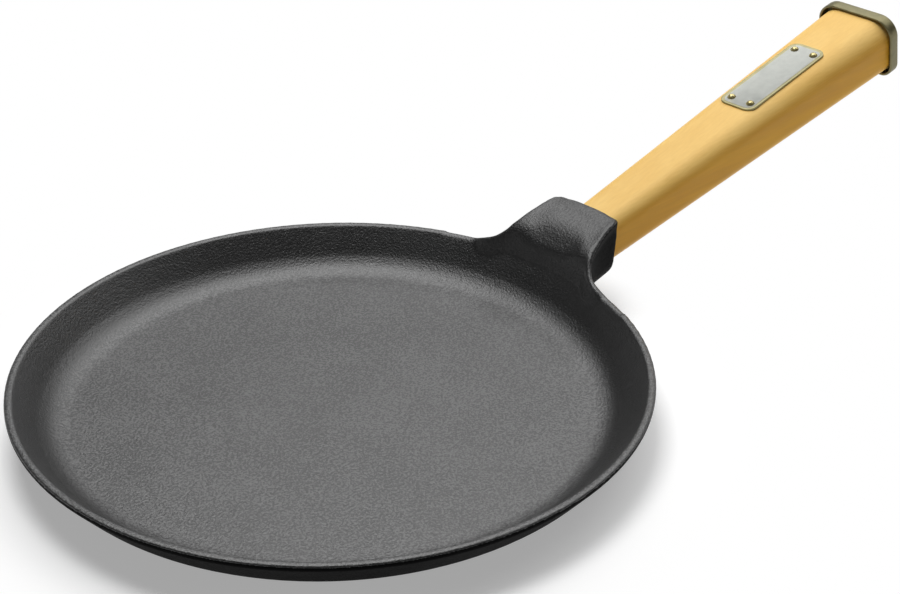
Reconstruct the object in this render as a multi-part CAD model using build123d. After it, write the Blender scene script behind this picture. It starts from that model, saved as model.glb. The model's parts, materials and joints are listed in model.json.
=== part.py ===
from build123d import *
from math import cos, exp, radians, sin, sqrt, tan
import os

# Cast-iron crepe pan with a wooden grip held in a cast socket by a long tie bolt.
# Millimetres. Origin at the centre of the flat underside, +Z up, grip towards +X.

# Bowl of the casting
rim_radius = 122.0
rim_width = 2.8
rim_rounding = 0.7
pan_height = 19.5
floor_thickness = 4.0
wall_thickness = 3.4
wall_angle = 50.0
bowl_fillet = 17.5

# Ramp that carries the bowl's wall up onto the socket, starting a little below the rim
ramp_inset = 1.4
ramp_angle = 70.0
ramp_rise = 6.6
ramp_crest_radius = 12.0
ramp_end_angle = 20.0

# Rim that curls up beside the socket, starting this far out from the socket's wall
sweep_radius = 9.2
sweep_angle = 78.0
sweep_bank_angle = 57.0
sweep_offset = 19.2

# Socket and the flared neck between it and the bowl
socket_projection = 24.0
socket_rise = 17.6
socket_wall = 4.35
socket_draft_angle = 5.2
socket_top_angle = 6.5
socket_crown = 0.6
socket_corner = 9.0
neck_root_inset = 12.5
neck_flare = 22.6
neck_flare_length = 10.0
neck_corner_growth = 16.0
neck_underside_height = 4.8
neck_underside_inset = 1.0
neck_underside_radius = 110.0
neck_sections = 7
mouth_rounding = 1.4

# Grip, measured from the mouth of the socket along its own axis
grip_angle = 10.6
grip_axis_drop = 15.6
grip_length = 194.2
tenon_length = 15.5
tenon_width = 22.6
tenon_height = 20.4
tenon_corner = 6.0
butt_width = 37.8
butt_height = 26.4
butt_rise = 1.0
butt_top_corner = 10.5
butt_bottom_corner = 7.0
tenon_gap = 0.25
seat_gap = 0.2

# Tie bolt, metric 6, pitch 1 mm
bolt_radius = 3.0
thread_engagement = 7.0
thread_gap = 0.05
bolt_bore_radius = 3.5
head_radius = 5.4
head_height = 4.2
head_dome = 0.9
slot_width = 1.5
slot_depth = 1.9

# Washers and the ring that keeps the bolt in the grip
flat_washer_radius = 7.0
flat_washer_thickness = 1.4
spring_washer_radius = 5.5
spring_washer_thickness = 1.6
spring_washer_split = 1.2
washer_bore_gap = 0.1
turning_gap = 0.05
ring_radius = 5.8
ring_thickness = 0.8
ring_pocket_radius = 6.8
ring_pocket_depth = 2.2
ring_seat_gap = 0.2
ring_slots = 6
ring_slot_width = 0.9
ring_slot_depth = 1.2

# End cap
cap_thickness = 1.2
cap_gap = 0.3
cap_depth = 6.0
cap_top_corner = 9.2
cap_bottom_corner = 6.0
cap_edge_radius = 1.1

# Name plate, left bare, with its four nails
plate_length = 57.0
plate_width = 18.4
plate_corner = 4.5
plate_thickness = 0.7
plate_middle = 127.3
nail_spacing_along = 46.4
nail_spacing_across = 10.4
nail_radius = 0.8
nail_length = 9.0
nail_head_radius = 1.9
nail_head_height = 1.3
nail_gap = 0.04

# Distance that every cutting tool runs past what it cuts
overrun = 5.0


def place(angle, radius, centre):
    """Point on a circle in the plane of a profile."""
    return (centre[0] + radius * cos(radians(angle)), centre[1] + radius * sin(radians(angle)))


# Places worked out from the driving dimensions
mouth_reach = rim_radius + socket_projection
neck_root_reach = rim_radius - neck_root_inset
neck_underside_reach = rim_radius - neck_underside_inset
socket_half_width = tenon_width / 2 + tenon_gap + socket_wall
sweep_half_width = socket_half_width + sweep_offset
socket_top = pan_height + socket_rise
grip_axis_height = socket_top - grip_axis_drop
rim_inner_radius = rim_radius - rim_width
wall_slope = tan(radians(wall_angle))
rim_edge_height = (wall_thickness / sin(radians(wall_angle)) - rim_width) * wall_slope
inner_foot = rim_inner_radius - (pan_height - floor_thickness) / wall_slope
outer_foot = rim_radius - (pan_height - rim_edge_height) / wall_slope
grip_frame = Plane(
    origin=(mouth_reach, 0, grip_axis_height),
    x_dir=(0, 1, 0),
    z_dir=(cos(radians(grip_angle)), 0, sin(radians(grip_angle))),
)
plate_slope = ((butt_height - tenon_height) / 2 + butt_rise) / grip_length


def bowl_profile():
    """Half section of the bowl with its flared wall and narrow flat rim."""
    with BuildSketch(Plane.XZ) as section:
        with BuildLine():
            Polyline(
                (0, 0),
                (outer_foot, 0),
                (rim_radius, pan_height - rim_edge_height),
                (rim_radius, pan_height),
                (rim_inner_radius, pan_height),
                (inner_foot, floor_thickness),
                (0, floor_thickness),
                close=True,
            )
        make_face()
        foot = section.vertices().sort_by_distance((outer_foot, 0, 0))[0]
        fillet(foot, bowl_fillet + floor_thickness)
        floor_edge = section.vertices().sort_by_distance((inner_foot, floor_thickness, 0))[0]
        fillet(floor_edge, bowl_fillet)
        fillet(section.vertices().sort_by(Axis.Y)[-2:], rim_rounding)
    return section.sketch


def ramp_cavity():
    """Air above the bowl and the ramp, turned about the bowl's own axis."""
    rise = radians(ramp_angle)
    foot = (rim_inner_radius - ramp_inset, pan_height - ramp_inset * wall_slope)
    crest_start = (foot[0] + ramp_rise / tan(rise), foot[1] + ramp_rise)
    centre = (
        crest_start[0] + ramp_crest_radius * sin(rise),
        crest_start[1] - ramp_crest_radius * cos(rise),
    )
    crest_middle = place(90 + (ramp_angle + ramp_end_angle) / 2, ramp_crest_radius, centre)
    crest_end = place(90 + ramp_end_angle, ramp_crest_radius, centre)
    far = mouth_reach + overrun
    far_height = crest_end[1] + (far - crest_end[0]) * tan(radians(ramp_end_angle))
    with BuildSketch(Plane.XZ) as section:
        with BuildLine():
            Polyline((0, far_height), (0, floor_thickness), (inner_foot, floor_thickness),
                     foot, crest_start)
            ThreePointArc(crest_start, crest_middle, crest_end)
            Polyline(crest_end, (far, far_height), (0, far_height))
        make_face()
        floor_edge = section.vertices().sort_by_distance((inner_foot, floor_thickness, 0))[0]
        fillet(floor_edge, bowl_fillet)
    return revolve(section.sketch, Axis.Z)


def flare_share(reach):
    """Share of the neck's flare left at a distance from the bowl's axis."""
    return exp((neck_root_reach - reach) / neck_flare_length)


def neck_section(reach):
    """Cross section of the neck, left tall for the crown to trim."""
    sag = neck_underside_radius - sqrt(neck_underside_radius ** 2 - (reach - neck_underside_reach) ** 2)
    bottom = neck_underside_height + sag
    top = socket_top + overrun
    half_width = socket_half_width + neck_flare * flare_share(reach)
    low = half_width - (socket_top - bottom) * tan(radians(socket_draft_angle))
    high = half_width + overrun * tan(radians(socket_draft_angle))
    frame = Plane(origin=(reach, 0, 0), x_dir=(0, 1, 0), z_dir=(1, 0, 0))
    with BuildSketch(frame) as section:
        with BuildLine():
            Polyline((-high, top), (-low, bottom), (low, bottom), (high, top), close=True)
        make_face()
        fillet(section.vertices().sort_by(Axis.Y)[:2],
               socket_corner + neck_corner_growth * flare_share(reach))
    return section.sketch


def neck():
    """Flared neck and socket, still solid, before the ramp is cut into it."""
    step = (mouth_reach - neck_root_reach) / (neck_sections - 1)
    body = loft([neck_section(neck_root_reach + step * count) for count in range(neck_sections)])
    frame = Plane(
        origin=(mouth_reach, 0, socket_top),
        x_dir=(0, 1, 0),
        z_dir=(cos(radians(socket_top_angle)), 0, sin(radians(socket_top_angle))),
    )
    edge = socket_half_width + neck_flare
    drop = socket_crown * (edge / socket_half_width) ** 2
    with BuildSketch(frame) as crown:
        with BuildLine():
            ThreePointArc((-edge, -drop), (0, 0), (edge, -drop))
            Polyline((edge, -drop), (edge, -2 * socket_top), (-edge, -2 * socket_top), (-edge, -drop))
        make_face()
    body &= extrude(crown.sketch, amount=mouth_reach, both=True)
    mouth = body.faces().sort_by(Axis.X)[-1]
    return fillet(mouth.edges(), mouth_rounding)


def swept_rim():
    """Rim that curls up along a hollow arc to the sides of the neck, banked outwards."""
    frame = Plane(origin=(neck_root_reach, 0, 0), x_dir=(0, 1, 0), z_dir=(1, 0, 0))
    low = pan_height - rim_edge_height
    middle = place(sweep_angle / 2 - 90, sweep_radius, (-sweep_half_width, pan_height + sweep_radius))
    end = place(sweep_angle - 90, sweep_radius, (-sweep_half_width, pan_height + sweep_radius))
    with BuildSketch(frame) as bell:
        with BuildLine():
            Polyline((-sweep_half_width, pan_height), (-sweep_half_width, low),
                     (sweep_half_width, low), (sweep_half_width, pan_height))
            ThreePointArc((sweep_half_width, pan_height), (-middle[0], middle[1]), (-end[0], end[1]))
            Line((-end[0], end[1]), end)
            ThreePointArc(end, middle, (-sweep_half_width, pan_height))
        make_face()
    prism = extrude(bell.sketch, amount=mouth_reach)
    disc = Cylinder(rim_radius, socket_top, align=(Align.CENTER, Align.CENTER, Align.MIN))
    bank = Cone(rim_radius + pan_height / tan(radians(sweep_bank_angle)),
                rim_radius - socket_rise / tan(radians(sweep_bank_angle)), socket_top,
                align=(Align.CENTER, Align.CENTER, Align.MIN))
    return prism & disc & bank


def rounded_bar(width, height, corner, start, length):
    """Straight bar of rounded rectangular section along the grip's axis."""
    sketch = Sketch() + RectangleRounded(width, height, corner)
    bar = extrude(sketch, amount=length)
    return grip_frame * Pos(0, 0, start) * bar


def rod(radius, start, length):
    """Round bar along the grip's axis."""
    bar = Cylinder(radius, length, align=(Align.CENTER, Align.CENTER, Align.MIN))
    return grip_frame * Pos(0, 0, start) * bar


def pan_casting():
    bowl = revolve(bowl_profile(), Axis.Z)
    casting = bowl + neck() + swept_rim() - ramp_cavity()
    pocket = rounded_bar(
        tenon_width + 2 * tenon_gap,
        tenon_height + 2 * tenon_gap,
        tenon_corner + tenon_gap,
        -tenon_length - seat_gap,
        tenon_length + seat_gap + tenon_height,
    )
    thread = rod(bolt_radius + thread_gap, bolt_tip() - seat_gap, thread_engagement + overrun)
    return casting - pocket - thread


def bolt_tip():
    """Inner end of the bolt on the grip's axis."""
    return -tenon_length - seat_gap - thread_engagement


def butt_section(margin, top_corner, bottom_corner):
    """Outline round the butt of the grip, a margin outside the wood."""
    half_width = butt_width / 2 + margin
    top = butt_rise + butt_height / 2 + margin
    bottom = butt_rise - butt_height / 2 - margin
    with BuildSketch() as section:
        with BuildLine():
            Polyline((-half_width, bottom), (half_width, bottom), (half_width, top),
                     (-half_width, top), close=True)
        make_face()
        fillet(section.vertices().sort_by(Axis.Y)[-2:], top_corner)
        fillet(section.vertices().sort_by(Axis.Y)[:2], bottom_corner)
    return section.sketch


def tapered_grip():
    """Outer form of the grip: a straight tenon, then four flat sides that widen to the butt."""
    tenon = Sketch() + RectangleRounded(tenon_width, tenon_height, tenon_corner)
    butt = Pos(0, 0, grip_length) * butt_section(0, butt_top_corner, butt_bottom_corner)
    taper = loft([tenon, butt], ruled=True)
    seat = extrude(tenon, amount=-tenon_length)
    return taper + seat


def plate_frame():
    """Plane of the grip's top face under the middle of the plate, x along the grip."""
    rise = tenon_height / 2 + plate_slope * plate_middle
    tilt = sqrt(1 + plate_slope ** 2)
    return Plane(
        origin=(0, rise, plate_middle),
        x_dir=(0, plate_slope / tilt, 1 / tilt),
        z_dir=(0, 1 / tilt, -plate_slope / tilt),
    )


def nail_places():
    return GridLocations(nail_spacing_along, nail_spacing_across, 2, 2)


def wood_grip():
    grip = tapered_grip()
    bore = Pos(0, 0, -tenon_length - overrun) * Cylinder(
        bolt_bore_radius, grip_length + tenon_length + 2 * overrun,
        align=(Align.CENTER, Align.CENTER, Align.MIN))
    ring_pocket = Pos(0, 0, -tenon_length - overrun) * Cylinder(
        ring_pocket_radius, ring_pocket_depth + overrun,
        align=(Align.CENTER, Align.CENTER, Align.MIN))
    grip = grip - bore - ring_pocket
    holes = [plate_frame() * spot * Cylinder(
        nail_radius + nail_gap, nail_length + nail_gap,
        align=(Align.CENTER, Align.CENTER, Align.MAX)) for spot in nail_places()]
    return grip_frame * (grip - holes)


def grip_plate():
    sheet = extrude(Sketch() + RectangleRounded(plate_length, plate_width, plate_corner),
                    amount=plate_thickness)
    holes = [spot * Cylinder(nail_radius + nail_gap, 2 * overrun) for spot in nail_places()]
    return grip_frame * (plate_frame() * (sheet - holes))


def nail():
    """Domed nail standing on the plate, shank down."""
    sphere_radius = (nail_head_radius ** 2 + nail_head_height ** 2) / (2 * nail_head_height)
    dome = Pos(0, 0, nail_head_height - sphere_radius) * Sphere(sphere_radius)
    dome &= Cylinder(nail_head_radius, nail_head_height,
                     align=(Align.CENTER, Align.CENTER, Align.MIN))
    shank = Cylinder(nail_radius, nail_length + plate_thickness,
                     align=(Align.CENTER, Align.CENTER, Align.MAX))
    return Pos(0, 0, plate_thickness) * (dome + shank)


def plate_nails():
    one = nail()
    return Compound(children=[grip_frame * (plate_frame() * (spot * one)) for spot in nail_places()])


def end_cap():
    """Stamped cup with a short skirt that stands round the butt of the grip."""
    outline = butt_section(cap_gap + cap_thickness, cap_top_corner, cap_bottom_corner)
    cup = extrude(outline, amount=cap_depth)
    cup = fillet(cup.faces().sort_by(Axis.Z)[-1].edges(), cap_edge_radius)
    hollow = butt_section(cap_gap, cap_top_corner - cap_thickness, cap_bottom_corner - cap_thickness)
    inside = extrude(hollow, amount=cap_depth - cap_thickness)
    hole = Cylinder(bolt_radius + thread_gap, 2 * cap_depth,
                    align=(Align.CENTER, Align.CENTER, Align.MIN))
    return grip_frame * Pos(0, 0, grip_length + cap_thickness - cap_depth) * (cup - inside - hole)


def flat_washer_start():
    return grip_length + cap_thickness


def spring_washer_start():
    return flat_washer_start() + flat_washer_thickness + turning_gap


def head_start():
    return spring_washer_start() + spring_washer_thickness


def flat_washer():
    start = flat_washer_start()
    disc = rod(flat_washer_radius, start, flat_washer_thickness)
    return disc - rod(bolt_radius + washer_bore_gap, start - overrun, 2 * overrun)


def spring_washer():
    """Spring washer with its split."""
    start = spring_washer_start()
    ring = rod(spring_washer_radius, start, spring_washer_thickness)
    ring -= rod(bolt_radius + washer_bore_gap, start - overrun, 2 * overrun)
    split = Box(spring_washer_split, spring_washer_radius + overrun, 2 * overrun,
                align=(Align.CENTER, Align.MIN, Align.CENTER))
    return ring - grip_frame * Pos(0, 0, start) * split


def retaining_ring():
    """Push-on ring with radial slots that keeps the bolt in the grip."""
    start = ring_pocket_depth - tenon_length - ring_seat_gap - ring_thickness
    ring = rod(ring_radius, start, ring_thickness) - rod(bolt_radius, start - overrun, 2 * overrun)
    slot = Box(bolt_radius + ring_slot_depth, ring_slot_width, 2 * overrun,
               align=(Align.MIN, Align.CENTER, Align.CENTER))
    slots = [grip_frame * Pos(0, 0, start) * Rot(0, 0, turn * 360 / ring_slots) * slot
             for turn in range(ring_slots)]
    return ring - slots


def tie_bolt():
    """Long bolt from the end cap into the boss of the casting, with a slotted head."""
    start = head_start()
    shank = rod(bolt_radius, bolt_tip(), start - bolt_tip())
    sphere_radius = (head_radius ** 2 + head_dome ** 2) / (2 * head_dome)
    head = rod(head_radius, start, head_height)
    head &= grip_frame * Pos(0, 0, start + head_height - sphere_radius) * Sphere(sphere_radius)
    slot = Box(slot_width, 2 * head_radius + overrun, slot_depth + overrun,
               align=(Align.CENTER, Align.CENTER, Align.MIN))
    slot = grip_frame * Pos(0, 0, start + head_height - slot_depth) * slot
    return shank + (head - slot)


parts = {
    "pan_casting": pan_casting,
    "wood_grip": wood_grip,
    "end_cap": end_cap,
    "grip_plate": grip_plate,
    "plate_nails": plate_nails,
    "tie_bolt": tie_bolt,
    "flat_washer": flat_washer,
    "spring_washer": spring_washer,
    "retaining_ring": retaining_ring,
}

os.makedirs("parts", exist_ok=True)
for name, make in parts.items():
    export_step(make(), f"parts/{name}.step")
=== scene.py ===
import json
from math import cos, pi, radians, sin, sqrt

import bmesh
import bpy
import numpy as np
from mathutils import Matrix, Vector


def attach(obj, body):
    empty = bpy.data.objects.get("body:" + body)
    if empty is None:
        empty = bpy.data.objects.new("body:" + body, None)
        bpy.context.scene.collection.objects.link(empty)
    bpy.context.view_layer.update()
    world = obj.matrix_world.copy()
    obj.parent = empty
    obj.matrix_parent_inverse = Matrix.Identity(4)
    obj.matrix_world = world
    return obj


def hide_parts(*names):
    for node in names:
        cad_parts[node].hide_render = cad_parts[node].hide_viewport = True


# Cast-iron crepe pan with a beech grip. Metres and degrees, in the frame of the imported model.

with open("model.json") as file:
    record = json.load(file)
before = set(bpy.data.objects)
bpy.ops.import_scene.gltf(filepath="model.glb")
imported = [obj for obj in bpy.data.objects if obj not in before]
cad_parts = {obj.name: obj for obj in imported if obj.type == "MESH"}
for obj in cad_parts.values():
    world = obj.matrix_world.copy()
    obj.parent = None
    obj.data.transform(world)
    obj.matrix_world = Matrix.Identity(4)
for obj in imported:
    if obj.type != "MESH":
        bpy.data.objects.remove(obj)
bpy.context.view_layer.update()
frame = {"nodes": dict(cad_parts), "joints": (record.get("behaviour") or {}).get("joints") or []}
nodes = frame["nodes"]
joints = {joint["name"]: joint for joint in frame["joints"]}

# Grip: its axis starts in the mouth of the socket
TENON_LENGTH = 0.0155
TENON_WIDTH = 0.0226
TENON_HEIGHT = 0.0204
TENON_CORNER = 0.006
TENON_CHAMFER = 0.0008
GRIP_LENGTH = 0.1942
BUTT_WIDTH = 0.0378
BUTT_HEIGHT = 0.0264
BUTT_RISE = 0.001
BUTT_TOP_CORNER = 0.0105
BUTT_BOTTOM_CORNER = 0.007
BORE_RADIUS = 0.0035
RING_POCKET_RADIUS = 0.0068
RING_POCKET_DEPTH = 0.0022

# End cap. The shares place the rings of its end face on the way from the edge to the hole.
CAP_THICKNESS = 0.0012
CAP_GAP = 0.0003
CAP_DEPTH = 0.006
CAP_TOP_CORNER = 0.0092
CAP_BOTTOM_CORNER = 0.006
CAP_EDGE_RADIUS = 0.0011
CAP_HOLE_RADIUS = 0.00305
CAP_FACE_SHARES = (0.3, 0.7, 1.0)

# Plate and nails
PLATE_LENGTH = 0.057
PLATE_WIDTH = 0.0184
PLATE_CORNER = 0.0045
PLATE_THICKNESS = 0.0007
PLATE_MIDDLE = 0.1273
PLATE_EDGE = 0.00025
PLATE_BORDER = 0.0012
PLATE_BORDER_SLOPE = 0.0003
PLATE_BORDER_RISE = 0.00012
NAIL_SPACING_ALONG = 0.0464
NAIL_SPACING_ACROSS = 0.0104
NAIL_RADIUS = 0.0008
NAIL_LENGTH = 0.009
NAIL_TIP_RADIUS = NAIL_RADIUS / 5
NAIL_POINT_LENGTH = 2 * NAIL_RADIUS
NAIL_HEAD_RADIUS = 0.0019
NAIL_HEAD_HEIGHT = 0.0013
NAIL_BRIM_HEIGHT = NAIL_HEAD_HEIGHT / 6

# Edge that runs from the rim up the flank of the neck to the socket's corner, one side of two
RIDGE = np.array([
    (0.1092, 0.0500, 0.0172), (0.1110, 0.0455, 0.0180), (0.1128, 0.0415, 0.0187),
    (0.1145, 0.0374, 0.0193), (0.1147, 0.0352, 0.0200), (0.1146, 0.0335, 0.0209),
    (0.1147, 0.0319, 0.0216), (0.1150, 0.0305, 0.0221), (0.1158, 0.0284, 0.0229),
    (0.1169, 0.0263, 0.0241), (0.1180, 0.0248, 0.0253), (0.1193, 0.0235, 0.0266),
    (0.1205, 0.0225, 0.0278), (0.1218, 0.0218, 0.0290), (0.1239, 0.0208, 0.0305),
    (0.1262, 0.0201, 0.0317), (0.1299, 0.0191, 0.0334), (0.1336, 0.0181, 0.0347),
    (0.1367, 0.0175, 0.0356), (0.1398, 0.0170, 0.0363), (0.1425, 0.0163, 0.0366),
    (0.1450, 0.0152, 0.0358)])
RIDGE_RADIUS = 0.0012
RIDGE_LIFT = 0.0002

# Bank under the ridge, in degrees and metres. Its depth starts at the first share of the whole
# and grows to the whole at the run-in point, which is counted along the ridge.
RIDGE_BANK = 70
RIDGE_BANK_LENGTH = 0.007
RIDGE_ROOT_INSET = 0.0015
RIDGE_RUN_IN = 7
RIDGE_FIRST_SHARE = 0.1

# Softening of the ramp: distance from the pan's middle, and height added there. The ramp is what
# lies above the foot's height, within the half width, and faces upward by more than the last value.
RAMP_REACH = (0.1195, 0.1212, 0.1230, 0.1249, 0.1265, 0.1288, 0.1316, 0.1350, 0.1387, 0.1440)
RAMP_LIFT = (0.0, -0.0010, -0.0016, -0.0014, -0.0008, 0.0001, 0.0004, 0.0002, -0.0002, 0.0)
RAMP_FOOT_HEIGHT = 0.0205
RAMP_HALF_WIDTH = 0.016
RAMP_FACING = 0.1

# Smoothing of the ramp's crest: where it lies, and how far to either side it is smoothed
CREST_SMOOTHING = 50
CREST_REACH = 0.1255
CREST_WHOLE = 0.004
CREST_END = 0.008

# Smoothing along the ridges, and the part of the casting that is searched for them
RIDGE_SMOOTHING = 18
RIDGE_REACH = 0.008
RIDGE_ZONE_START = 0.105
RIDGE_ZONE_FOOT = 0.012
RIDGE_ZONE_HALF_WIDTH = 0.05

# Fineness of the meshes
CASTING_VOXEL = 0.0006
CASTING_SMOOTHING = 5
CASTING_SMOOTHING_SHARE = 0.5
CASTING_THINNING = 0.26
CASTING_WELD = 1e-7
RIDGE_STEPS = 8
CORNER_STEPS = 14
SIDE_STEPS = 6
TAPER_STEPS = 48
ROUND_STEPS = 48
ARC_STEPS = 6
DOME_STEPS = 11
SHARP_ANGLE = 38

grip_origin = np.array(joints["bolt_turn"]["pos_m"], float)
along = np.array(joints["bolt_turn"]["axis"], float)
across = np.array([0.0, 1.0, 0.0])
upward = np.cross(along, across)


def on_grip(x, y, s):
    """World place of a point across, above and along the grip's axis."""
    return grip_origin + x * across + y * upward + s * along


def mesh_piece(name, points, faces, body, node):
    """Mesh object that stands for a node and rides on a body."""
    mesh = bpy.data.meshes.new(name)
    mesh.from_pydata([tuple(point) for point in points], [], faces)
    work = bmesh.new()
    work.from_mesh(mesh)
    bmesh.ops.recalc_face_normals(work, faces=work.faces)
    work.to_mesh(mesh)
    work.free()
    mesh.shade_smooth()
    mesh.set_sharp_from_angle(angle=radians(SHARP_ANGLE))
    piece = bpy.data.objects.new(name, mesh)
    bpy.context.scene.collection.objects.link(piece)
    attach(piece, body)
    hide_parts(node)
    return piece


def ring_faces(count, size, closed):
    """Quads between neighbouring rings of equal size, with end faces if the rows are open."""
    faces = []
    rows = count if closed else count - 1
    for row in range(rows):
        here, after = row * size, (row + 1) % count * size
        for step in range(size):
            ahead = (step + 1) % size
            faces.append((here + step, here + ahead, after + ahead, after + step))
    if not closed:
        faces.append(tuple(range(size)))
        faces.append(tuple(range((count - 1) * size, count * size)))
    return faces


def rounded_outline(width, height, top_corner, bottom_corner, middle=0.0):
    """Points round a rounded rectangle, as many on each corner and side at every size."""
    corners = [(1, -1, bottom_corner, -90), (1, 1, top_corner, 0),
               (-1, 1, top_corner, 90), (-1, -1, bottom_corner, 180)]
    arcs = []
    for right, up, radius, start in corners:
        centre = np.array([right * (width / 2 - radius), middle + up * (height / 2 - radius)])
        angles = np.radians(start + np.linspace(0, 90, CORNER_STEPS + 1))
        arcs.append(centre + radius * np.stack([np.cos(angles), np.sin(angles)], axis=1))
    share = np.arange(1, SIDE_STEPS)[:, None] / SIDE_STEPS
    points = []
    for here, after in zip(arcs, arcs[1:] + arcs[:1]):
        points.append(here)
        points.append(here[-1] * (1 - share) + after[0] * share)
    return np.concatenate(points)


def round_outline(radius, like):
    """Circle whose points lie in the directions of another outline's points."""
    angles = np.arctan2(like[:, 1], like[:, 0])
    return radius * np.stack([np.cos(angles), np.sin(angles)], axis=1)


def grip_rings(rows):
    """Rings in the world from outlines and their distances along the grip."""
    return np.concatenate([[on_grip(x, y, s) for x, y in outline] for outline, s in rows])


def butt_outline(margin, top_corner, bottom_corner):
    """Outline of the grip's outer end, or one that lies a margin outside it."""
    return rounded_outline(BUTT_WIDTH + 2 * margin, BUTT_HEIGHT + 2 * margin,
                           top_corner, bottom_corner, BUTT_RISE)


def fade(value, start, end):
    """One up to the start, then smoothly down to nought at the end."""
    share = np.clip((value - start) / (end - start), 0, 1)
    return 1 - share * share * (3 - 2 * share)


# Casting: the solid's own form with its creases and edges softened as sand casting leaves them
def ridge_fill(side):
    """Closed wedge with a rounded top along the ridge, banked down into the bowl's wall."""
    curve = RIDGE * (1, side, 1) + (0, 0, RIDGE_LIFT - RIDGE_RADIUS)
    run = np.gradient(curve, axis=0)
    inward = side * np.cross(run, (0.0, 0.0, 1.0))
    inward /= np.linalg.norm(inward, axis=1)[:, None]
    rings = [curve + RIDGE_RADIUS * cos(turn) * inward + (0, 0, RIDGE_RADIUS * sin(turn))
             for turn in np.radians(np.linspace(90 - RIDGE_BANK, 180, RIDGE_STEPS))]
    share = np.interp(np.arange(len(curve)), (0, RIDGE_RUN_IN), (RIDGE_FIRST_SHARE, 1))
    depth = RIDGE_BANK_LENGTH * share[:, None]
    bank = cos(radians(RIDGE_BANK)) * inward - (0, 0, sin(radians(RIDGE_BANK)))
    rings += [curve + RIDGE_ROOT_INSET * inward - depth * (0, 0, 1), rings[0] + depth * bank]
    points = np.stack(rings, axis=1).reshape(-1, 3)
    mesh = bpy.data.meshes.new("ridge_fill")
    mesh.from_pydata([tuple(point) for point in points], [],
                     ring_faces(len(curve), len(rings), False))
    return mesh


def vertex_vectors(mesh, key):
    """Places or normals of a mesh's vertices, one in each row."""
    values = np.empty(3 * len(mesh.vertices))
    mesh.vertices.foreach_get(key, values)
    return values.reshape(-1, 3)


def ridge_distances(places):
    """Distance of each vertex from the nearest point of a ridge, endless outside the zone."""
    mirrored = places.copy()
    mirrored[:, 1] = np.abs(mirrored[:, 1])
    near = np.flatnonzero((mirrored[:, 0] > RIDGE_ZONE_START) & (mirrored[:, 2] > RIDGE_ZONE_FOOT)
                          & (mirrored[:, 1] < RIDGE_ZONE_HALF_WIDTH))
    apart = np.full(len(places), np.inf)
    for point in RIDGE:
        apart[near] = np.minimum(apart[near], np.linalg.norm(mirrored[near] - point, axis=1))
    return apart


def soften_neck(mesh):
    """Lower and round the ramp's crest, and blend the ridges into the rim and the neck."""
    count = len(mesh.vertices)
    places = vertex_vectors(mesh, "co")
    facing = vertex_vectors(mesh, "normal")[:, 2]
    reach = np.hypot(places[:, 0], places[:, 1])
    onto = (places[:, 2] > RAMP_FOOT_HEIGHT) & (facing > RAMP_FACING) & (places[:, 0] > 0)
    share = onto * fade(np.abs(places[:, 1]), RAMP_HALF_WIDTH / 2, RAMP_HALF_WIDTH)
    places[:, 2] += np.interp(reach, RAMP_REACH, RAMP_LIFT) * share
    ridge = fade(ridge_distances(places), RIDGE_REACH / 2, RIDGE_REACH)
    crest = fade(np.abs(reach - CREST_REACH), CREST_WHOLE, CREST_END) * share
    rounds = np.maximum(RIDGE_SMOOTHING * ridge, CREST_SMOOTHING * crest)
    edges = np.empty(2 * len(mesh.edges), int)
    mesh.edges.foreach_get("vertices", edges)
    first, second = edges.reshape(-1, 2).T
    held = (rounds[first] > 0) | (rounds[second] > 0)
    first, second = first[held], second[held]
    links = np.bincount(first, minlength=count) + np.bincount(second, minlength=count)
    links = np.maximum(links, 1)[:, None]
    for done in range(CREST_SMOOTHING):
        moved = (rounds > done)[:, None]
        total = np.stack([np.bincount(first, places[second, axis], count)
                          + np.bincount(second, places[first, axis], count)
                          for axis in range(3)], axis=1)
        places = np.where(moved, (places + total / links) / 2, places)
    mesh.vertices.foreach_set("co", places.ravel())
    mesh.update()


def ridged_casting(source):
    """Rough mesh of the solid with a fill under each of its two ridges."""
    mesh = bpy.data.meshes.new("casting_rough")
    work = bmesh.new()
    work.from_mesh(source)
    for side in (1, -1):
        work.from_mesh(ridge_fill(side))
    bmesh.ops.remove_doubles(work, verts=work.verts, dist=CASTING_WELD)
    bmesh.ops.recalc_face_normals(work, faces=work.faces)
    work.to_mesh(mesh)
    work.free()
    return mesh


def apply_modifiers(piece):
    """Give a piece the mesh that its modifiers make of it, and take them off."""
    graph = bpy.context.evaluated_depsgraph_get()
    mesh = bpy.data.meshes.new_from_object(piece.evaluated_get(graph))
    piece.modifiers.clear()
    piece.data = mesh


def casting_piece():
    """Casting with softened creases, filled ridges and a lowered crest of the ramp."""
    piece = bpy.data.objects.new("iron_casting", ridged_casting(nodes["pan_casting"].data))
    bpy.context.scene.collection.objects.link(piece)
    remesh = piece.modifiers.new("remesh", "REMESH")
    remesh.mode = "VOXEL"
    remesh.voxel_size = CASTING_VOXEL
    soften = piece.modifiers.new("soften", "SMOOTH")
    soften.factor = CASTING_SMOOTHING_SHARE
    soften.iterations = CASTING_SMOOTHING
    apply_modifiers(piece)
    soften_neck(piece.data)
    thin = piece.modifiers.new("thin", "DECIMATE")
    thin.ratio = CASTING_THINNING
    apply_modifiers(piece)
    piece.data.shade_smooth()
    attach(piece, "pan")
    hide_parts("pan_casting")
    return piece


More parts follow.
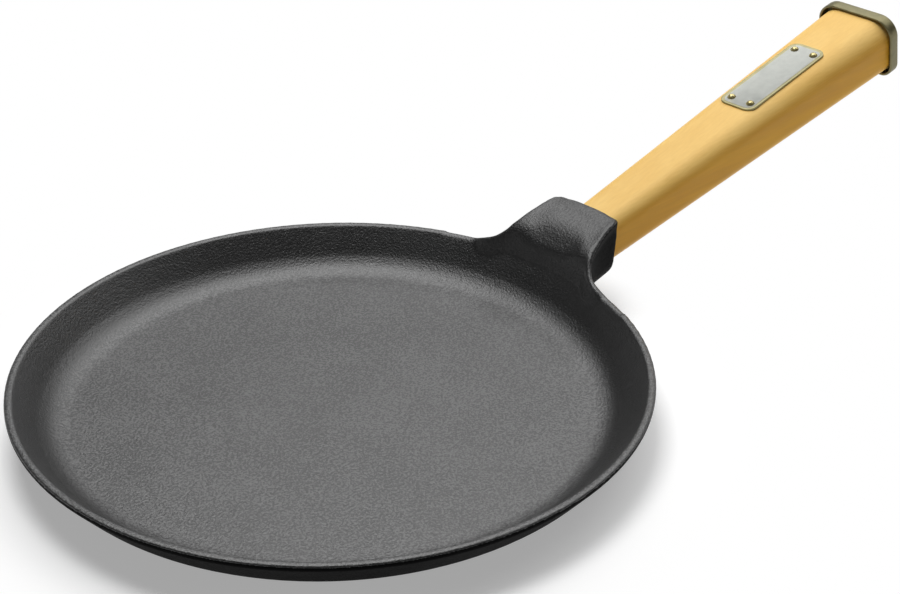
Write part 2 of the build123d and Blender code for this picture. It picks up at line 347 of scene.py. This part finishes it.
# Grip, end cap, plate and nails
def grip_piece():
    """Tapered grip with its tenon, its bore and the pocket for the retaining ring."""
    tenon = rounded_outline(TENON_WIDTH, TENON_HEIGHT, TENON_CORNER, TENON_CORNER)
    small = rounded_outline(TENON_WIDTH - 2 * TENON_CHAMFER, TENON_HEIGHT - 2 * TENON_CHAMFER,
                            TENON_CORNER - TENON_CHAMFER, TENON_CORNER - TENON_CHAMFER)
    butt = butt_outline(0, BUTT_TOP_CORNER, BUTT_BOTTOM_CORNER)
    rows = [(small, -TENON_LENGTH), (tenon, TENON_CHAMFER - TENON_LENGTH)]
    for step in range(TAPER_STEPS + 1):
        share = step / TAPER_STEPS
        rows.append((tenon * (1 - share) + butt * share, share * GRIP_LENGTH))
    bore = round_outline(BORE_RADIUS, tenon)
    pocket = round_outline(RING_POCKET_RADIUS, tenon)
    rows += [(bore, GRIP_LENGTH), (bore, RING_POCKET_DEPTH - TENON_LENGTH),
             (pocket, RING_POCKET_DEPTH - TENON_LENGTH), (pocket, -TENON_LENGTH)]
    return mesh_piece("beech_grip", grip_rings(rows), ring_faces(len(rows), len(tenon), True),
                      "handle", "wood_grip")


def cap_piece():
    """Pressed cap over the grip's outer end, with the bolt's hole in its face."""
    outer = CAP_GAP + CAP_THICKNESS
    start = GRIP_LENGTH + CAP_THICKNESS - CAP_DEPTH
    end = GRIP_LENGTH + CAP_THICKNESS

    def shell(margin):
        return butt_outline(margin, CAP_TOP_CORNER + margin - outer,
                            CAP_BOTTOM_CORNER + margin - outer)

    lip = CAP_THICKNESS / 2
    rows = []
    for step in range(2 * ARC_STEPS + 1):
        turn = pi * step / (2 * ARC_STEPS)
        rows.append((shell(CAP_GAP + lip * (1 - cos(turn))), start + lip * (1 - sin(turn))))
    for step in range(ARC_STEPS + 1):
        turn = pi / 2 * step / ARC_STEPS
        rows.append((shell(outer - CAP_EDGE_RADIUS * (1 - cos(turn))),
                     end - CAP_EDGE_RADIUS * (1 - sin(turn))))
    edge = rows[-1][0]
    hole = round_outline(CAP_HOLE_RADIUS, edge)
    for share in CAP_FACE_SHARES:
        rows.append((edge * (1 - share) + hole * share, end))
    inside = end - CAP_THICKNESS
    rows += [(hole, inside), (shell(CAP_GAP), inside)]
    return mesh_piece("end_cap_shell", grip_rings(rows), ring_faces(len(rows), len(edge), True),
                      "handle", "end_cap")


plate_slope = ((BUTT_HEIGHT - TENON_HEIGHT) / 2 + BUTT_RISE) / GRIP_LENGTH
plate_tilt = sqrt(1 + plate_slope ** 2)
plate_origin = on_grip(0, TENON_HEIGHT / 2 + plate_slope * PLATE_MIDDLE, PLATE_MIDDLE)
plate_along = (plate_slope * upward + along) / plate_tilt
plate_up = (upward - plate_slope * along) / plate_tilt
plate_across = np.cross(plate_up, plate_along)


def on_plate(x, y, z):
    """World place of a point along, across and above the grip's flat top."""
    return plate_origin + x * plate_along + y * plate_across + z * plate_up


def plate_piece():
    """Plate on the grip's top, with rounded edges and a raised border."""

    def sheet(inset):
        return rounded_outline(PLATE_LENGTH - 2 * inset, PLATE_WIDTH - 2 * inset,
                               PLATE_CORNER - inset, PLATE_CORNER - inset)

    rows = [(sheet(0), 0.0)]
    for step in range(ARC_STEPS + 1):
        turn = pi / 2 * step / ARC_STEPS
        rows.append((sheet(PLATE_EDGE * (1 - cos(turn))),
                     PLATE_THICKNESS + PLATE_BORDER_RISE - PLATE_EDGE * (1 - sin(turn))))
    rows.append((sheet(PLATE_BORDER), PLATE_THICKNESS + PLATE_BORDER_RISE))
    rows.append((sheet(PLATE_BORDER + PLATE_BORDER_SLOPE), PLATE_THICKNESS))
    points = np.concatenate([[on_plate(x, y, z) for x, y in outline] for outline, z in rows])
    return mesh_piece("grip_plate_sheet", points, ring_faces(len(rows), len(rows[0][0]), False),
                      "handle", "grip_plate")


def nails_piece():
    """Four nails through the plate, with points and domed heads."""
    sphere = (NAIL_HEAD_RADIUS ** 2 + NAIL_HEAD_HEIGHT ** 2) / (2 * NAIL_HEAD_HEIGHT)
    lip = NAIL_BRIM_HEIGHT / 2
    profile = [(NAIL_TIP_RADIUS, -NAIL_LENGTH), (NAIL_RADIUS, NAIL_POINT_LENGTH - NAIL_LENGTH),
               (NAIL_RADIUS, PLATE_THICKNESS), (NAIL_HEAD_RADIUS - lip, PLATE_THICKNESS),
               (NAIL_HEAD_RADIUS, PLATE_THICKNESS + lip)]
    for step in range(1, DOME_STEPS):
        rise = (NAIL_HEAD_HEIGHT - NAIL_BRIM_HEIGHT) * sin(pi / 2 * step / DOME_STEPS)
        height = NAIL_BRIM_HEIGHT + rise
        reach = sqrt(sphere ** 2 - (height + sphere - NAIL_HEAD_HEIGHT) ** 2)
        profile.append((reach, PLATE_THICKNESS + height))
    points, faces = [], []
    circle = np.radians(np.arange(ROUND_STEPS) * 360 / ROUND_STEPS)
    for x in (-NAIL_SPACING_ALONG / 2, NAIL_SPACING_ALONG / 2):
        for y in (-NAIL_SPACING_ACROSS / 2, NAIL_SPACING_ACROSS / 2):
            first = len(points)
            for radius, height in profile:
                points += [on_plate(x + radius * cos(turn), y + radius * sin(turn), height)
                           for turn in circle]
            faces += [tuple(first + corner for corner in face)
                      for face in ring_faces(len(profile), ROUND_STEPS, False)]
    return mesh_piece("plate_nail_heads", points, faces, "handle", "plate_nails")


casting = casting_piece()
grip = grip_piece()
cap = cap_piece()
plate = plate_piece()
nails = nails_piece()

# Materials. A noise value is taken as spread over this range, and two are often mixed evenly.
NOISE_LOW = 0.3
NOISE_HIGH = 0.7
EVEN_SHARE = 0.5


class Finish:
    """Principled material with short ways to add nodes."""

    def __init__(self, name):
        self.material = bpy.data.materials.new(name)
        self.material.use_nodes = True
        self.tree = self.material.node_tree
        self.shader = self.tree.nodes["Principled BSDF"]

    def node(self, kind, inputs=None, **settings):
        node = self.tree.nodes.new(kind)
        for key, value in settings.items():
            setattr(node, key, value)
        for key, value in (inputs or {}).items():
            self.set(node, key, value)
        return node

    def set(self, node, key, value):
        if isinstance(value, bpy.types.NodeSocket):
            self.tree.links.new(value, node.inputs[key])
        else:
            node.inputs[key].default_value = value

    def place(self, scale=(1, 1, 1), turn=(0, 0, 0)):
        """Place on the object for a noise, scaled and turned."""
        coordinates = self.node("ShaderNodeTexCoord")
        mapping = self.node("ShaderNodeMapping", {"Vector": coordinates.outputs["Object"],
                                                  "Scale": scale, "Rotation": turn})
        return mapping.outputs["Vector"]

    def noise(self, vector, scale, detail, roughness, distortion=0.0):
        node = self.node("ShaderNodeTexNoise", {"Vector": vector, "Scale": scale, "Detail": detail,
                                                "Roughness": roughness, "Distortion": distortion})
        return node.outputs["Fac"]

    def facing(self, direction):
        """How squarely the surface faces a direction: one if quite, nought if edge on."""
        normal = self.node("ShaderNodeNewGeometry").outputs["True Normal"]
        product = self.node("ShaderNodeVectorMath", {0: direction, 1: normal},
                            operation="DOT_PRODUCT")
        return product.outputs["Value"]

    def smooth_step(self, value, limits):
        """Nought below the first limit, one above the second and a smooth way between."""
        start, end = limits
        node = self.node("ShaderNodeMapRange", {"Value": value, "From Min": start, "From Max": end},
                         interpolation_type="SMOOTHSTEP")
        return node.outputs["Result"]

    def span(self, value, low, high):
        """A noise value spread from low to high."""
        node = self.node("ShaderNodeMapRange", {"Value": value, "To Min": low, "To Max": high,
                                                "From Min": NOISE_LOW, "From Max": NOISE_HIGH})
        return node.outputs["Result"]

    def ramp(self, value, positions, colours):
        node = self.node("ShaderNodeValToRGB", {"Fac": value})
        for element, position, colour in zip(node.color_ramp.elements, positions, colours):
            element.position = position
            element.color = (*colour, 1)
        return node.outputs["Color"]

    def mix(self, factor, first, second):
        node = self.node("ShaderNodeMix", data_type="RGBA")
        self.set(node, 0, factor)
        self.set(node, 6, first)
        self.set(node, 7, second)
        return node.outputs[2]

    def bump(self, height, distance, normal=None):
        node = self.node("ShaderNodeBump", {"Height": height, "Distance": distance})
        if normal:
            self.set(node, "Normal", normal)
        return node.outputs["Normal"]

    def finish(self, **inputs):
        for key, value in inputs.items():
            self.set(self.shader, key.replace("_", " "), value)
        return self.material


# Iron: noise scales, shares of one noise in another, and limits of the grains and of the upward
# faces that are painted lighter, as painted light
IRON_CLOUD_SCALE = 35
IRON_SPECK_SCALE = 1050
IRON_FINE_SCALE = 1900
IRON_FINE_SHARE = 0.4
IRON_GRAIN_SHARE = 0.88
IRON_GRAIN_STOPS = (0.49, 0.53)
IRON_LIT_FACING = (0.84, 1.0)
IRON_DARK = (0.001, 0.001, 0.001)
IRON_BUMP = 0.0002


def iron(name, grain_and_light_colour, roughness, ior, level):
    """Black iron whose level places turn in grains to a second colour; the grain is the iron's own,
    its lightening on faces that face up is painted light.
    """
    look = Finish(name)
    place = look.place()
    cloud = look.noise(place, IRON_CLOUD_SCALE, detail=4, roughness=0.6)
    speck = look.noise(place, IRON_SPECK_SCALE, detail=2, roughness=0.6)
    fine = look.noise(place, IRON_FINE_SCALE, detail=2, roughness=0.6)
    grains = look.mix(IRON_FINE_SHARE, speck, fine)
    grain_and_light = look.ramp(look.mix(IRON_GRAIN_SHARE, cloud, grains), IRON_GRAIN_STOPS,
                     (IRON_DARK, grain_and_light_colour))
    # Painted light: only faces that face up take the lighter grains
    lit_share = look.smooth_step(look.facing((0, 0, 1)), IRON_LIT_FACING)
    colour = look.mix(lit_share, (*IRON_DARK, 1), grain_and_light)
    rough = look.span(look.mix(EVEN_SHARE, cloud, speck), *roughness)
    bump = look.bump(fine, IRON_BUMP / 2, look.bump(speck, IRON_BUMP))
    return look.finish(Base_Color=colour, Roughness=rough, Normal=bump, IOR=ior,
                       Specular_IOR_Level=level)


# Wood: scales along and across the fibres, and colours of the sides, darker and deeper as painted
# shade, and of the flat top, paler as painted light
WOOD_TURN = 10.6
WOOD_RING_SCALE = (6, 90, 90)
WOOD_PORE_SCALE = (25, 900, 900)
WOOD_TONE_SCALE = (9, 22, 22)
WOOD_RING_STOPS = (0.3, 0.72)
WOOD_LIT_FLAT_FACING = (0.1, 0.75)
WOOD_SHADED_SIDE_COLOURS = ((0.79, 0.38, 0.024), (0.93, 0.50, 0.044))
WOOD_LIT_FLAT_COLOURS = ((0.86, 0.54, 0.15), (0.94, 0.64, 0.22))
WOOD_PORE_COLOUR = (0.50, 0.25, 0.03, 1)
WOOD_PORE_SHARE = 0.16
WOOD_PORE_BUMP = 0.00004
WOOD_TONE_COLOUR = (0.84, 0.49, 0.10, 1)
WOOD_TONE_SHARE = 0.18
WOOD_ROUGHNESS = (0.42, 0.55)
WOOD_LEVEL = 0.25


def wood():
    """Oiled wood with fibres along the grip, paler on its flat top and bottom as painted light, and
    darker and deeper on its sides as painted shade.
    """
    look = Finish("beech_oiled")
    turn = (0, radians(WOOD_TURN), 0)
    rings = look.noise(look.place(WOOD_RING_SCALE, turn), scale=1.0, detail=4, roughness=0.55,
                       distortion=0.6)
    pores = look.noise(look.place(WOOD_PORE_SCALE, turn), scale=1.0, detail=3, roughness=0.6)
    tone = look.noise(look.place(WOOD_TONE_SCALE, turn), scale=1.0, detail=2, roughness=0.5)
    # Painted light and shade: faces that look up or down take the paler colours, the sides the
    # darker ones
    flat = look.node("ShaderNodeMath", {0: look.facing(tuple(upward))}, operation="ABSOLUTE")
    colour = look.mix(look.smooth_step(flat.outputs[0], WOOD_LIT_FLAT_FACING),
                      look.ramp(rings, WOOD_RING_STOPS, WOOD_SHADED_SIDE_COLOURS),
                      look.ramp(rings, WOOD_RING_STOPS, WOOD_LIT_FLAT_COLOURS))
    colour = look.mix(look.span(pores, WOOD_PORE_SHARE, 0.0), colour, WOOD_PORE_COLOUR)
    colour = look.mix(look.span(tone, WOOD_TONE_SHARE, 0.0), colour, WOOD_TONE_COLOUR)
    return look.finish(Base_Color=colour, Roughness=look.span(rings, *WOOD_ROUGHNESS),
                       Normal=look.bump(pores, WOOD_PORE_BUMP), Specular_IOR_Level=WOOD_LEVEL)


# Plated metal
PLATED_CLOUD_SCALE = 120
PLATED_LINE_SCALE = 300
PLATED_STOPS = (0.35, 0.65)
PLATED_BUMP = 0.00001


def plated(name, dark, light, roughness, metallic=0.7):
    """Zinc plating, clouded from a darker to a lighter colour."""
    look = Finish(name)
    place = look.place()
    cloud = look.noise(place, PLATED_CLOUD_SCALE, detail=4, roughness=0.6)
    lines = look.noise(place, PLATED_LINE_SCALE, detail=3, roughness=0.6)
    mixed = look.mix(EVEN_SHARE, cloud, lines)
    return look.finish(Base_Color=look.ramp(mixed, PLATED_STOPS, (dark, light)),
                       Metallic=metallic, Roughness=look.span(mixed, *roughness),
                       Normal=look.bump(lines, PLATED_BUMP))


# The casting's finishes by face, as painted light and shade: the bowl's upper faces take the
# lighter finish, the neck's upper faces a darker one and all other faces black iron with weak
# reflection, both as painted shade. A face counts as upper by its normal's upward part. The bowl's
# faces that lean inward count as upper too, down to the second limit.
BOWL, OUTSIDE, NECK = range(3)
UPPER_FACING = 0.28
BOWL_FACING = -0.5
NECK_START = 0.121
NECK_FOOT_HEIGHT = 0.022

# The plate's broad faces have many corners, and those of its border have four
BROAD, BORDER = range(2)
BORDER_CORNERS = 4


def casting_light_and_shade(face):
    """Index of a face's finish on the casting, chosen by its facing to paint light and shade."""
    inward = face.normal.x * face.center.x + face.normal.y * face.center.y < 0
    if face.normal.z > UPPER_FACING or (inward and face.normal.z > BOWL_FACING):
        on_neck = face.center.x > NECK_START and face.center.z > NECK_FOOT_HEIGHT
        return NECK if on_neck else BOWL
    return OUTSIDE


def give_finishes(piece, *finishes):
    """Replace a piece's materials with finishes, in the order of their indices."""
    piece.data.materials.clear()
    for finish in finishes:
        piece.data.materials.append(finish)


# Lit and shaded copies of one iron: the bowl lighter, the neck darker and the rest black with weak
# reflection, as painted light and shade
iron_painted_light = iron("iron_seasoned_painted_light", (0.074, 0.074, 0.074), (0.37, 0.45), ior=1.80, level=0.5)
iron_neck_painted_shade = iron("iron_neck_painted_shade", (0.040, 0.040, 0.040), (0.37, 0.45), ior=1.68, level=0.5)
iron_painted_shade = iron("iron_black_painted_shade", (0.003, 0.003, 0.003), (0.5, 0.65), ior=1.25, level=0.10)
give_finishes(casting, iron_painted_light, iron_painted_shade, iron_neck_painted_shade)
for face in casting.data.polygons:
    face.material_index = casting_light_and_shade(face)

give_finishes(grip, wood())
give_finishes(cap, plated("zinc_dull", (0.16, 0.145, 0.072), (0.24, 0.215, 0.115), (0.32, 0.5)))

plate_finish = plated("zinc_plate", (0.335, 0.345, 0.32), (0.42, 0.43, 0.40), (0.32, 0.5),
                      metallic=0.4)
border_finish = plated("zinc_border", (0.26, 0.24, 0.12), (0.36, 0.33, 0.18), (0.28, 0.42))
give_finishes(plate, plate_finish, border_finish)
for face in plate.data.polygons:
    face.material_index = BROAD if len(face.vertices) > BORDER_CORNERS else BORDER

give_finishes(nails, plated("zinc_nail", (0.50, 0.42, 0.18), (0.66, 0.57, 0.28), (0.24, 0.36)))
bolt_finish = plated("zinc_bolt", (0.55, 0.55, 0.52), (0.70, 0.70, 0.67), (0.3, 0.45))
for name in ("tie_bolt", "flat_washer", "spring_washer", "retaining_ring"):
    give_finishes(nodes[name], bolt_finish)

# Camera at the photograph's angle. Lens and sensor are in millimetres.
CAMERA_PLACE = Vector((-0.4238, -0.4868, 0.4150))
CAMERA_TARGET = Vector((0.0710, 0.0081, 0.0195))
CAMERA_LENS = 80
CAMERA_SENSOR = 36
CAMERA_NEAREST = 0.01
CAMERA_FARTHEST = 50

camera_data = bpy.data.cameras.new("camera")
camera_data.lens = CAMERA_LENS
camera_data.sensor_width = CAMERA_SENSOR
camera_data.clip_start = CAMERA_NEAREST
camera_data.clip_end = CAMERA_FARTHEST
camera = bpy.data.objects.new("camera", camera_data)
camera.location = CAMERA_PLACE
camera.rotation_euler = (CAMERA_TARGET - CAMERA_PLACE).to_track_quat("-Z", "Y").to_euler()
bpy.context.scene.collection.objects.link(camera)
bpy.context.scene.camera = camera

# Floor that turns up into a low white wall all round, far off
FLOOR_RINGS = (0.08, 0.4, 0.8, 1.6)
FLOOR_RADIUS = 6.0
WALL_HEIGHT = 0.95
SWEEP_RADIUS = 0.8
SWEEP_STEPS = 12
STAGE_STEPS = 96

# Floor's colour as a reflector, its colour and added light as it is seen near the pan, and the
# distances from the pan's middle between which it turns plain white
REFLECTOR_COLOUR = (0.85, 0.85, 0.85, 1)
FLOOR_COLOUR = (0.72, 0.72, 0.72, 1)
FLOOR_LIFT = 0.36
FLOOR_WHITENING = (0.128, 0.160)


def stage_sweep():
    """Round floor and the wall it turns up into, as one smooth sheet."""
    profile = [(radius, 0.0) for radius in FLOOR_RINGS]
    for step in range(SWEEP_STEPS + 1):
        turn = pi / 2 * step / SWEEP_STEPS
        profile.append((FLOOR_RADIUS - SWEEP_RADIUS * (1 - sin(turn)),
                        SWEEP_RADIUS * (1 - cos(turn))))
    profile.append((FLOOR_RADIUS, WALL_HEIGHT))
    circle = [2 * pi * step / STAGE_STEPS for step in range(STAGE_STEPS)]
    points = [(radius * cos(turn), radius * sin(turn), height)
              for radius, height in profile for turn in circle]
    mesh = bpy.data.meshes.new("studio_floor")
    mesh.from_pydata(points, [], ring_faces(len(profile), STAGE_STEPS, False)[:-1])
    mesh.shade_smooth()
    floor = bpy.data.objects.new("studio_floor", mesh)
    bpy.context.scene.collection.objects.link(floor)
    return floor


def stage_finish():
    """White to the eye and in reflections, with the object's shadow, and grey as a reflector."""
    look = Finish("studio_white")
    look.tree.nodes.remove(look.shader)
    path = look.node("ShaderNodeLightPath")
    seen = path.outputs["Is Camera Ray"]
    for ray in ("Is Glossy Ray", "Is Transmission Ray"):
        seen = look.node("ShaderNodeMath", {0: seen, 1: path.outputs[ray]},
                         operation="MAXIMUM").outputs[0]
    reflector = look.node("ShaderNodeBsdfDiffuse", {"Color": REFLECTOR_COLOUR})
    floor = look.node("ShaderNodeBsdfDiffuse", {"Color": FLOOR_COLOUR})
    lift = look.node("ShaderNodeEmission", {"Strength": FLOOR_LIFT})
    near = look.node("ShaderNodeAddShader", {0: floor.outputs[0], 1: lift.outputs[0]})
    white = look.node("ShaderNodeEmission")
    place = look.node("ShaderNodeTexCoord").outputs["Object"]
    distance = look.node("ShaderNodeVectorMath", {0: place}, operation="LENGTH").outputs["Value"]
    shown = look.node("ShaderNodeMixShader", {0: look.smooth_step(distance, FLOOR_WHITENING),
                                              1: near.outputs[0], 2: white.outputs[0]})
    whole = look.node("ShaderNodeMixShader", {0: seen, 1: reflector.outputs[0],
                                              2: shown.outputs[0]})
    look.set(look.tree.nodes["Material Output"], "Surface", whole.outputs[0])
    return look.material


give_finishes(stage_sweep(), stage_finish())

# Soft light: a wide softbox behind, a smaller one overhead, and a dim room. Each softbox has
# its name, place, side and watts.
SOFTBOXES = (("softbox_behind", (1.30, 0.51, 1.25), 2.12, 29.5),
             ("softbox_above", (0.08, 0.35, 1.25), 0.6, 9.3))
SOFTBOX_TURN = 45
WORLD_COLOUR = (1, 1, 1, 1)
WORLD_LEVEL = 0.03

for name, place, side, watts in SOFTBOXES:
    light = bpy.data.lights.new(name, "AREA")
    light.shape = "SQUARE"
    light.size = side
    light.energy = watts
    lamp = bpy.data.objects.new(name, light)
    lamp.location = place
    lamp.rotation_euler = (0, 0, radians(SOFTBOX_TURN))
    lamp.visible_camera = False
    bpy.context.scene.collection.objects.link(lamp)

world = bpy.data.worlds.new("studio")
world.use_nodes = True
background = world.node_tree.nodes["Background"]
background.inputs["Color"].default_value = WORLD_COLOUR
background.inputs["Strength"].default_value = WORLD_LEVEL
bpy.context.scene.world = world
bpy.context.scene.view_settings.view_transform = "Standard"
